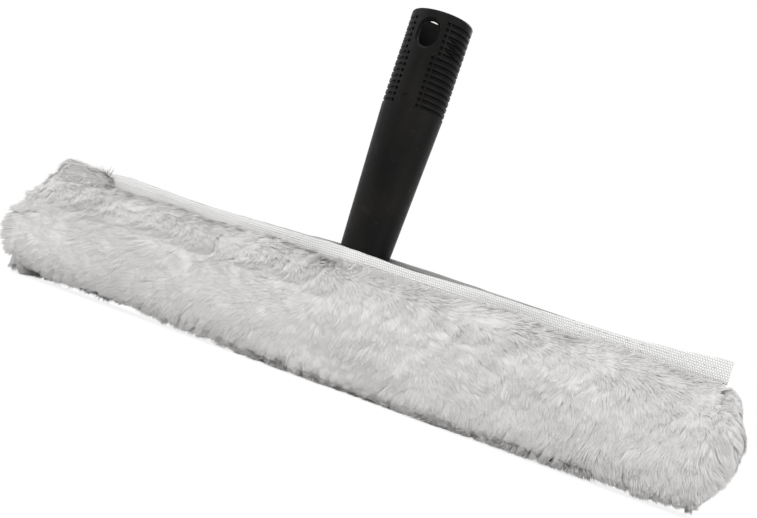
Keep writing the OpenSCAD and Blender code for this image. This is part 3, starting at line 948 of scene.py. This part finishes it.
def make_hems():
    def rear_y(x):
        return slit_half(x, HEM_THICK / 2)

    def front_y(x):
        return -rear_y(x)

    def foot(x):
        return HEM_FOOT

    def ridge(x):
        return line_at(RIDGE, x)

    def rear_top(x):
        return ridge(x) + line_at(REAR_RISE, x)

    front_end = FLAP_LOW.x - 0.02 * MM
    front = woven_strip("front_hem_band", -HEM_X, front_end, foot, ridge, front_y, HEM_THICK)
    under = woven_strip(
        "front_hem_end", front_end + 0.04 * MM, HEM_X, foot, lambda x: PILE_TOP, front_y, HEM_THICK
    )
    rear = woven_strip("rear_hem_band", -HEM_X, HEM_X, foot, rear_top, rear_y, HEM_THICK, SHADED_REAR_CLOTH)
    flap = woven_strip(
        "closing_flap_band", FLAP_LOW.x, FLAP_HIGH.x + 2.5 * MM, lambda x: FLAP_LOW.z - 1.3 * MM,
        ridge, lambda x: -TAPE_Y - HEM_THICK / 2, HEM_THICK,
    )
    for made, body, node in (
        (front, "scrubber", "front_hem"), (under, "scrubber", "front_hem"),
        (rear, "scrubber", "rear_hem"), (flap, "flap", "closing_flap"),
    ):
        dressed(made, body, "woven_hem", node)


# Lining round the bar

def make_lining():
    low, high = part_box("backing_cloth")
    columns, rows, wall = 96, 24, 0.8 * MM
    around = 2 * rows - 1
    corner = 4.75 * MM
    row_height = 2.3 * MM
    pucker_depth, pucker_rate = 0.12 * MM, 620
    points = []
    for x in np.linspace(low.x, high.x, columns + 1):
        half = [(0, low.z), (high.y - corner, low.z)]
        half += [
            (high.y - corner + corner * math.sin(a), low.z + corner - corner * math.cos(a))
            for a in np.linspace(0.3, math.pi / 2, 5)
        ]
        half += [(high.y, high.z - wall), (slit_half(x, HEM_THICK) + 0.3 * MM, high.z - wall)]
        line = spaced(np.array(half), rows)
        puckers = pucker_depth * math.sin(x * pucker_rate)
        points += [(x, -(p[0] - puckers), p[1]) for p in line[::-1]]
        points += [(x, p[0] - puckers, p[1]) for p in line[1:]]
    made = mesh_object("backing_lining", points, grid_faces(columns + 1, around), LINING)
    weave_map(made, [
        (p[0] / WEAVE_PITCH, i % around * row_height / WEAVE_PITCH) for i, p in enumerate(points)
    ])
    faced_outward(made, round_bar(made))
    thickened(made, wall)
    dressed(made, "scrubber", "backing", "backing_cloth")


# Stitches, hooks and loops

def islands(node):
    """Middle, direction and half length of each loose solid of a CAD node."""
    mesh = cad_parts[node].data
    points = np.round(np.array([v.co for v in mesh.vertices], float), 7)
    names, inverse = np.unique(points, axis=0, return_inverse=True)
    parent = list(range(len(names)))

    def root(a):
        while parent[a] != a:
            parent[a] = parent[parent[a]]
            a = parent[a]
        return a

    inverse = inverse.ravel()
    for face in mesh.polygons:
        first = root(inverse[face.vertices[0]])
        for other in face.vertices[1:]:
            parent[root(inverse[other])] = first
    groups = {}
    for number in range(len(names)):
        groups.setdefault(root(number), []).append(number)
    found = []
    for members in groups.values():
        corners = names[members]
        centre = corners.mean(0)
        axes = np.linalg.svd(corners - centre)[2]
        found.append((centre, axes[0], np.abs((corners - centre) @ axes[0]).max()))
    return found


def repeat_group(name, rings):
    """Copies of one small bent thread on given points, turned to each point's direction."""
    number = "NodeSocketFloat"
    inputs = [
        ("Places", "NodeSocketGeometry"), ("Thickness", number, 0.4 * MM), ("Rise", number, 0.3 * MM),
        ("Reach", number, 1 * MM), ("Finish", "NodeSocketMaterial"),
    ]
    tree, source, sink = group_tree(name, "GeometryNodeTree", inputs, [("Threads", "NodeSocketGeometry")])
    given = source.outputs
    line = add(tree, "GeometryNodeCurvePrimitiveLine", {"Start": (-1, 0, 0), "End": (1, 0, 0)}).outputs[0]
    line = add(tree, "GeometryNodeResampleCurve", {"Curve": line, "Count": rings}).outputs[0]
    x = xyz_of(tree, add(tree, "GeometryNodeInputPosition").outputs[0])["X"]
    hump = math_of(tree, "SUBTRACT", 1.0, times(tree, x, x))
    shape = vector_from(tree, times(tree, x, given["Reach"]), 0.0, times(tree, hump, given["Rise"]))
    line = add(tree, "GeometryNodeSetPosition", {"Geometry": line, "Position": shape}).outputs[0]
    radius = math_of(tree, "DIVIDE", given["Thickness"], 2.0)
    circle = add(tree, "GeometryNodeCurvePrimitiveCircle", {"Resolution": 6, "Radius": radius}).outputs[0]
    tube = add(tree, "GeometryNodeCurveToMesh", {
        "Curve": line, "Profile Curve": circle, "Fill Caps": True,
    }).outputs[0]
    turn = add(tree, "FunctionNodeAxesToRotation", {
        "Primary Axis": named(tree, "run", "FLOAT_VECTOR"),
        "Secondary Axis": named(tree, "out", "FLOAT_VECTOR"),
    }, primary_axis="X", secondary_axis="Z").outputs[0]
    placed = add(tree, "GeometryNodeInstanceOnPoints", {
        "Points": given["Places"], "Instance": tube, "Rotation": turn,
    }).outputs[0]
    whole = add(tree, "GeometryNodeRealizeInstances", {"Geometry": placed}).outputs[0]
    whole = add(tree, "GeometryNodeSetShadeSmooth", {"Geometry": whole}).outputs[0]
    painted = add(tree, "GeometryNodeSetMaterial", {"Geometry": whole, "Material": given["Finish"]})
    fill(tree, sink, {"Threads": painted.outputs[0]})
    return tree


BENT_THREADS = repeat_group("Bent threads", 7)


def threads_on(name, places, body, node, slot, finish, thickness, rise, reach):
    """places holds (point, run, out) for each thread; the result stands for the CAD node."""
    points, runs, outs = zip(*places)
    made = mesh_object(name, points, [], finish)
    set_attribute(made, "run", runs, "FLOAT_VECTOR")
    set_attribute(made, "out", outs, "FLOAT_VECTOR")
    grown(made, BENT_THREADS, {
        "Thickness": thickness, "Rise": rise, "Reach": reach, "Finish": finish,
    })
    return dressed(made, body, slot, node)


def make_stitches():
    for node in (
        "hem_joining_stitches", "front_hem_stitches", "rear_hem_stitches", "loop_tape_stitches",
        "flap_stitches", "left_end_stitches", "right_end_stitches",
    ):
        body = "flap" if node == "flap_stitches" else "scrubber"
        places = []
        for centre, run, reach in islands(node):
            out, sunk = Vector((0, centre[1], 0)), 0.42 * MM
            if node.startswith(("left_end", "right_end")):
                out, sunk = Vector((0, centre[1], centre[2] - DOME_MIDDLE)), 2.2 * MM
            out.normalize()
            places.append((Vector(centre) - out * sunk, run, out))
        threads_on(
            node + "_thread", places, body, node, "thread", THREAD,
            thickness=0.36 * MM, rise=0.20 * MM, reach=reach * 0.95,
        )


def tape_band(name, node, body, inner_side, finish):
    """The tape's woven ground under its hooks or loops."""
    low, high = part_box(node)
    middle = (low.y + high.y) / 2
    thin = 0.35 * MM
    y = middle - inner_side * ((high.y - low.y) / 2 - thin / 2)
    made = woven_strip(
        name, low.x, high.x, lambda x: low.z, lambda x: high.z - 0.1 * MM, lambda x: y, thin, finish
    )
    dressed(made, body, "tape", node)
    return low, high


def make_tapes():
    for node, body, side, finish, pitch, rise in (
        ("hook_tape", "flap", 1, HOOK_NYLON, 1.15 * MM, 0.42 * MM),
        ("loop_tape", "scrubber", -1, LOOP_NYLON, 0.85 * MM, 0.38 * MM),
    ):
        low, high = tape_band(node + "_ground", node, body, side, finish)
        rng = np.random.default_rng(9)
        places = []
        ground = (low.y + high.y) / 2 - side * 0.06 * MM
        for x in np.arange(low.x + pitch, high.x - pitch / 2, pitch):
            for z in np.arange(low.z + pitch / 2, high.z - pitch / 4, pitch * 0.8):
                turn = rng.uniform(-0.5, 0.5) + (0.0 if node == "hook_tape" else rng.uniform(0, math.pi))
                run = Vector((math.cos(turn), 0, math.sin(turn)))
                places.append((Vector((x, ground, z)), run, Vector((0, side, 0))))
        threads_on(
            node + "_pile", places, body, node, "tape", finish,
            thickness=0.17 * MM, rise=rise, reach=0.34 * MM,
        )


# Finishes of the solid parts

def dress_solids():
    bar, steel = bar_material(), steel_material()
    for node, finish in (
        ("handle", handle_material()), ("crossbar", bar), ("left_end_plug", bar), ("right_end_plug", bar),
        ("tongue_rivets", steel), ("rivet_washers", steel),
    ):
        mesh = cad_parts[node].data
        mesh.materials.clear()
        mesh.materials.append(finish)


# Stage, light and camera

def seen_or_lit(tree):
    """1 for rays from the camera, also through clear parts."""
    path = add(tree, "ShaderNodeLightPath")
    return math_of(tree, "MAXIMUM", path.outputs["Is Camera Ray"], path.outputs["Is Transmission Ray"])


def make_stage():
    size = 6.0
    corners = [(-size, -size, 0), (size, -size, 0), (size, size, 0), (-size, size, 0)]
    finish, tree, shader = material("studio_floor")
    white = seen_or_lit(tree)
    fill(tree, shader, {
        "Base Color": blend_colours(tree, white, grey(0.92), grey(0.18)), "Roughness": 1.0,
        "Specular IOR Level": 0.0, "Emission Color": grey(1.0),
        "Emission Strength": times(tree, white, 0.88),
    })
    floor = mesh_object("floor", corners, [(0, 1, 2, 3)], finish)


def make_world():
    world = bpy.data.worlds.new("studio")
    bpy.context.scene.world = world
    world.use_nodes = True
    tree = world.node_tree
    colour = blend_colours(tree, seen_or_lit(tree), grey(0.72), grey(1.0))
    fill(tree, tree.nodes["Background"], {"Color": colour, "Strength": 1.0})


def area_lamp(name, place, target, size, watts):
    lamp = bpy.data.lights.new(name, "AREA")
    lamp.shape = "DISK"
    lamp.size = size
    lamp.energy = watts
    made = linked(name, lamp)
    made.location = place
    made.rotation_mode = "QUATERNION"
    made.rotation_quaternion = (Vector(target) - Vector(place)).to_track_quat("-Z", "Y")


def make_lamps():
    middle = (0, 0, 0.06)
    area_lamp("key", (0.10, -1.1, 1.15), middle, 1.2, 7.6)
    area_lamp("left_fill", (-1.2, -0.5, 0.7), middle, 1.0, 2.8)
    area_lamp("right_fill", (1.2, -0.4, 0.6), middle, 1.0, 2.6)
    area_lamp("back", (0.1, 1.1, 0.9), middle, 0.9, 5)


def make_camera():
    yaw, lift, roll = (math.radians(a) for a in (CAMERA_YAW, CAMERA_LIFT, CAMERA_ROLL))
    back = Vector((math.sin(yaw) * math.cos(lift), -math.cos(yaw) * math.cos(lift), math.sin(lift)))
    level = Vector((math.cos(yaw), math.sin(yaw), 0))
    upright = back.cross(level)
    right = math.cos(roll) * level + math.sin(roll) * upright
    up = -math.sin(roll) * level + math.cos(roll) * upright
    camera = bpy.data.cameras.new("camera")
    camera.sensor_width = SENSOR
    camera.lens = FOCAL_PIXELS / IMAGE_WIDTH * SENSOR
    camera.clip_start = 0.02
    camera.clip_end = 30
    made = linked("camera", camera)
    turned = Matrix((right, up, back)).transposed().to_4x4()
    made.matrix_world = Matrix.Translation(CAMERA_TARGET + back * CAMERA_DISTANCE) @ turned
    bpy.context.scene.camera = made


bpy.context.scene.view_settings.view_transform = "Standard"
make_camera()
make_world()
make_lamps()
make_stage()
dress_solids()
make_lining()
make_hems()
make_tapes()
make_stitches()
make_cover()
make_end(-1, "left_end_panel", "left_end")
make_end(1, "right_end_panel", "right_end")
